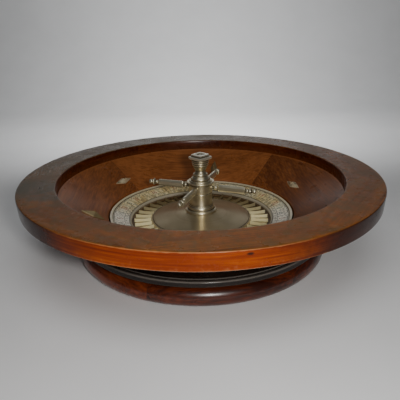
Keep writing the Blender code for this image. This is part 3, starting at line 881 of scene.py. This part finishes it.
def make_numbers():
    """Enamelled numbers round the ring, upright when read from outside the wheel."""
    base = RING_INNER + 14.5
    stretch = 1.25
    edits = {colour: bmesh.new() for colour in ("red", "black", "green")}
    for cell, number in enumerate(NUMBER_ORDER):
        curve = bpy.data.curves.new(f"figure_{number}", "FONT")
        curve.body = str(number)
        curve.size = 0.012
        curve.align_x = "CENTER"
        curve.resolution_u = 3
        text = add_object(curve)
        bpy.context.view_layer.update()
        evaluated = text.evaluated_get(bpy.context.evaluated_depsgraph_get())
        mesh = bpy.data.meshes.new_from_object(evaluated)
        bpy.data.objects.remove(text)
        angle = (cell + 0.5) * POCKET_ANGLE
        for vert in mesh.vertices:
            radius = base + vert.co.y * stretch / MM
            swing = angle - vert.co.x / MM / radius
            vert.co = on_ring(radius, swing, FIGURE_LIFT)
        edits[number_colour(number)].from_mesh(mesh)
        bpy.data.meshes.remove(mesh)
    for colour, edit in edits.items():
        mesh = new_mesh(f"numbers_{colour}", [], [], LOOKS[colour])
        edit.to_mesh(mesh)
        edit.free()
        declare(add_object(mesh), ROTOR, "aged_silver")


def make_pockets():
    inner = 86.0
    outline = [(FLOOR_RADIUS, FLOOR_TOP, 0.2), (FLOOR_RADIUS, FLOOR_BOTTOM),
               (inner, FLOOR_BOTTOM), (inner, FLOOR_TOP)]
    outline += spaced(inner, FLOOR_RADIUS, 8, lambda radius: FLOOR_TOP)
    piece = lathe("pocket_ring", rounded(outline, steps=2), LOOKS["pocket"], steps=RING_STEPS)
    declare(piece, ROTOR, "pocket_brown", "pocket_floor")
    for index in range(POCKET_COUNT):
        make_fret(index)


def make_fret(index):
    """A thin plate with a rounded, slightly waisted top edge and a spread foot."""
    half = 0.8
    sag = 1.1
    sides = 14
    verts = []
    faces = []
    flank = [(1.0, 0.0), (0.75, 0.25), (0.7, 0.8), (0.5, 0.96)]
    section = [(-half * share, up) for share, up in flank] + [(0.0, 1.0)]
    section += [(half * share, up) for share, up in reversed(flank)]
    turn = Matrix.Rotation(index * POCKET_ANGLE, 3, "Z")
    for step in range(sides + 1):
        share = step / sides
        radius = mix(FRET_INNER, FRET_OUTER, share)
        top = FRET_TOP - sag * math.sin(math.pi * share)
        for across, up in section:
            verts.append(turn @ Vector((radius * MM, across * MM, mix(FRET_BOTTOM, top, up) * MM)))
    width = len(section)
    for step in range(sides):
        for side in range(width):
            after = (side + 1) % width
            low = step * width
            faces.append((low + side, low + after, low + width + after, low + width + side))
    faces.append(tuple(range(width)))
    faces.append(tuple(range(sides * width, (sides + 1) * width)))
    mesh = new_mesh(f"pocket_fret_{index + 1:02d}", verts, faces, LOOKS["fret"])
    finish_mesh(mesh, 40.0)
    declare(add_object(mesh), ROTOR, "fret_metal", f"fret_{index + 1:02d}")


def make_dish():
    """A dished plate with a flat seat for the turret and a rolled edge."""
    seat = 28.0
    bore = 12.2
    thickness = 2.5
    edge = DISH_RADIUS
    edge_top = 55.0
    inner = edge - 2.5
    slope_start = seat + 1.5
    outline = [(edge - 1.0, edge_top + 0.3, 0.5), (edge, edge_top - 0.6, 0.5),
               (edge, DISH_BOTTOM, 0.3), (inner, DISH_BOTTOM), (inner, edge_top - 2.2),
               (seat, DISH_TOP - thickness), (bore, DISH_TOP - thickness), (bore, DISH_TOP),
               (seat - 1.0, DISH_TOP, 0.4), (slope_start, DISH_TOP - 0.6, 0.4)]
    for step in range(1, 24):
        share = step / 24
        sag = 0.7 * math.sin(math.pi * share)
        height = mix(DISH_TOP - 0.6, edge_top + 0.5, share) - sag
        outline.append((mix(slope_start, edge - 4.0, share), height))
    outline += [(edge - 3.6, edge_top + 0.4, 0.2), (edge - 3.2, edge_top - 0.2),
                (edge - 2.6, edge_top - 0.1, 0.2)]
    piece = lathe("dished_plate", rounded(outline, steps=3), LOOKS["dish"])
    declare(piece, ROTOR, "pewter", "cone_plate")


def make_column():
    """The turned column; each row gives a radius, a distance from the top or foot, a rounding."""
    flange = COLUMN_RADIUS
    head = [
        (22.9, 0.4, 0.4), (24.3, 0.8, 0.7), (24.4, 2.2, 0.6), (24.0, 3.2, 0.4), (21.6, 3.9, 0.4),
        (20.9, 4.8, 0.4), (20.6, 12.0, FULL), (20.5, 20.0, 0.3), (20.0, 20.5, 0.2),
        (20.0, 21.3, 0.2), (20.3, 21.9, 0.3), (19.6, 29.0, FULL),
    ]
    base = [
        (19.8, 20.0, FULL), (20.6, 13.6, FULL), (21.0, 12.4, 0.3), (21.7, 11.9, 0.3),
        (21.6, 10.9, 0.3), (22.3, 10.4, 0.3), (23.6, 8.8, FULL), (23.8, 6.6, 0.8),
        (22.9, 5.2, 0.4), (23.4, 4.5, 0.2), (26.2, 3.7, 0.8), (flange - 0.1, 2.9, 0.7),
        (flange, 1.2, 0.4), (flange, 0.0, 0.3),
    ]
    outline = [(20.4, COLUMN_TOP)]
    outline += [(radius, COLUMN_TOP - drop, rounding) for radius, drop, rounding in head]
    outline += [(radius, COLUMN_BOTTOM + rise, rounding) for radius, rise, rounding in base]
    outline += [(11.4, COLUMN_BOTTOM), (11.4, COLUMN_BOTTOM + 27.5), (6.4, COLUMN_BOTTOM + 30.5),
                (6.4, COLUMN_TOP)]
    piece = lathe("turret_column_plated", rounded(outline), LOOKS["nickel"], steps=128)
    declare(piece, ROTOR, "aged_nickel", "turret_column")


def make_finial():
    """Bell, waisted neck and funnel under a stepped square cap with its corners on the axes.

    Each row gives a radius, a distance below the top, a rounding and, in the cap, a superellipse
    power.
    """
    bell = COLUMN_TOP + SEAT_GAP
    inside = 104.0
    cap = 1.08
    ears = 1.12
    cap_depth = 9.0
    cap_rows = [
        (0.0, 1.5, 0.0, 1.0), (8.6, 1.5, 0.3, 1.0), (9.5, 0.2, 0.3, 1.0), (10.2, 0.0, 0.2, 1.0),
        (14.9, 0.0, 0.5, cap), (15.9, 0.8, 0.6, cap), (15.5, 2.2, 0.5, cap),
        (16.2, 3.4, 0.4, cap), (17.4, 3.9, 0.4, ears), (CAP_CORNER - 0.3, 4.2, 0.8, ears),
        (CAP_CORNER, 6.4, 1.4, ears), (CAP_CORNER - 0.9, 8.6, 1.0, ears),
        (15.8, cap_depth, 0.4, 1.3),
    ]
    funnel = [
        (14.8, 9.8, 0.3), (15.2, 10.4, 0.5), (15.0, 12.0, 0.5), (14.2, 12.5, 0.2),
        (14.2, 13.6, 0.2), (14.7, 14.2, 0.4), (14.4, 15.8, 0.5), (13.6, 16.3, 0.2),
        (13.5, 17.5, 0.2), (13.9, 18.1, 0.4), (13.4, 20.0, 0.5), (12.7, 20.5, 0.2),
    ]
    neck = [(11.6, 24.0, FULL), (9.6, 27.4, FULL), (9.0, 29.0, FULL), (9.4, 31.0, FULL),
            (10.6, 33.2, 0.5)]
    skirt = [
        (11.6, 34.0, 0.3), (12.9, 35.2, 0.7), (12.9, 37.0, 0.7), (12.2, 37.6, 0.2),
        (13.0, 38.6, FULL), (15.2, 41.0, FULL), (16.7, 42.2, 0.9), (16.8, 44.4, 0.9),
        (16.3, 45.2, 0.3), (17.6, 45.7, 0.4), (19.7, 46.1, 0.5),
    ]
    foot = [(20.2, bell + 0.6, 0.3), (20.2, bell, 0.2), (6.0, bell, 0.0), (6.0, inside, 0.0),
            (0.0, inside, 0.0)]
    rows = cap_rows + [(*row, ROUND) for row in funnel + neck + skirt]
    rows = [(radius, CAP_TOP - drop, rounding, power) for radius, drop, rounding, power in rows]
    rows += [(*row, ROUND) for row in foot]
    outline = rounded([row[:3] for row in rows], steps=4)
    powers = []
    for point in outline:
        nearest = min(rows, key=lambda row: (Vector(row[:2]) - Vector(point)).length)
        powers.append(nearest[3])
    piece = lathe("turret_finial_plated", outline, LOOKS["nickel"], 128,
                  lambda point, angle: superellipse(powers[point], angle))
    piece.data.materials.append(LOOKS["cap"])
    for face in piece.data.polygons:
        if face.center.z > (CAP_TOP - cap_depth) * MM:
            face.material_index = 1
    declare(piece, ROTOR, "aged_nickel", "turret_finial")


def make_arms():
    """Flat bars on edge with a root bead, a collar, a disc and a ball at the tip."""
    ball = 3.8
    root = 13.0
    bar_outer = 81.0
    bar_inner = 33.5
    corners = [
        (0.0, ARM_TIP), (2.2, ARM_TIP, FULL), (ball, ARM_TIP - ball * 0.45, FULL),
        (ball, ARM_TIP - ball * 1.5, FULL), (2.0, 93.4, 0.4), (2.0, 92.6, 0.2), (5.2, 92.2, 0.6),
        (6.0, 90.9, 0.9), (5.4, 89.3, 0.6), (2.4, 88.6, 0.2), (2.3, 87.6, 0.2), (3.5, 86.8, FULL),
        (3.5, 84.0, FULL), (2.5, 83.2, 0.2), (2.6, 82.2, 0.2), (4.7, bar_outer + 0.6, 0.5),
        (5.6, bar_outer - 0.6, 0.4), (6.1, bar_inner + 0.8, 0.4), (5.0, bar_inner - 0.8, 0.5),
        (2.6, 31.8, 0.3), (2.6, 31.0, 0.2), (4.0, 30.2, FULL), (4.0, 26.6, FULL), (2.7, 25.8),
        (2.7, root), (0.0, root),
    ]
    outline = rounded(corners, steps=4)
    flat = [bar_inner - 0.9 <= height <= bar_outer + 0.7 for _, height in outline]
    for index in range(ARM_COUNT):
        azimuth = ARM_FIRST_ANGLE + index * math.tau / ARM_COUNT
        place = Matrix.Rotation(azimuth, 4, "Z") @ Matrix.Rotation(math.pi / 2, 4, "Y")
        place = Matrix.Translation((0.0, 0.0, ARM_HEIGHT * MM)) @ place
        piece = lathe(f"turret_arm_{index + 1}", outline, LOOKS["arm"], 64,
                      lambda point, angle: flat_bar(angle) if flat[point] else 1.0, place)
        declare(piece, ROTOR, "aged_nickel", f"arm_{index + 1}")


def dress_hidden_nodes():
    """The CAD pieces inside the wheel keep their shape and take a finish."""
    for node, look in (("spindle", "steel"), ("rotor_bush", "brass"), ("rotor_core", "core")):
        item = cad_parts[node]
        item.data.materials.clear()
        item.data.materials.append(LOOKS[look])


# The stage.

def make_stage():
    look = Look("studio_floor")
    cloud = look.noise(scale=6.0, detail=3.0)
    colour = look.ramp(cloud, (0.3, (0.86, 0.865, 0.87)), (0.7, (0.9, 0.905, 0.91)))
    width = 5.0
    front = -3.0
    back = 2.2
    bend = 0.8
    top = 3.5
    path = [(front, 0.0)]
    for step in range(13):
        angle = math.pi / 2 * step / 12
        path.append((back - bend + bend * math.sin(angle), bend - bend * math.cos(angle)))
    path.append((back, top))
    verts = [(side * width, y, z) for y, z in path for side in (-1, 1)]
    faces = [(k * 2, k * 2 + 1, k * 2 + 3, k * 2 + 2) for k in range(len(path) - 1)]
    mesh = new_mesh("studio_floor", verts, faces, look.output(colour, 0.7))
    mesh.shade_smooth()
    add_object(mesh)


def add_light(name, place, target, size, power, colour=(1.0, 1.0, 1.0), beam=180.0):
    light = bpy.data.lights.new(name, "AREA")
    light.spread = math.radians(beam)
    light.shape = "DISK"
    light.size = size
    light.energy = power
    light.color = colour
    item = add_object(light)
    item.location = place
    item.rotation_euler = (Vector(target) - Vector(place)).to_track_quat("-Z", "Y").to_euler()


def make_lights():
    world = bpy.data.worlds.new("studio")
    world.use_nodes = True
    background = world.node_tree.nodes["Background"]
    background.inputs["Color"].default_value = (0.95, 0.97, 1.0, 1.0)
    background.inputs["Strength"].default_value = 0.05
    bpy.context.scene.world = world
    add_light("flash", (0.09, -0.8, 0.4), (0.0, -0.1, 0.1), size=0.08, power=3.1,
              colour=(1.0, 0.98, 0.95))
    add_light("wall_wash", (0.0, 0.55, 0.85), (0.0, 1.5, 0.0), size=0.5, power=9.0, beam=128.0)
    add_light("overhead", (0.0, -0.75, 2.0), (0.0, -0.1, 0.0), size=1.6, power=10.0)


def make_camera():
    data = bpy.data.cameras.new("camera")
    data.lens = 40.5
    data.sensor_width = 36.0
    camera = add_object(data)
    place = Matrix.Translation((-0.0016, -0.7567, RIM_TOP * MM + 0.2327))
    tilt = Matrix.Rotation(math.radians(69.36), 4, "X")
    roll = Matrix.Rotation(math.radians(-1.04), 4, "Z")
    camera.matrix_world = place @ tilt @ roll
    bpy.context.scene.camera = camera


make_camera()
make_lights()
make_stage()
for build in (make_foot, make_base, make_shell, make_apron, make_rim, make_deflectors,
              make_number_ring, make_engraving, make_numbers, make_pockets, make_dish,
              make_column, make_finial, make_arms, dress_hidden_nodes):
    build()
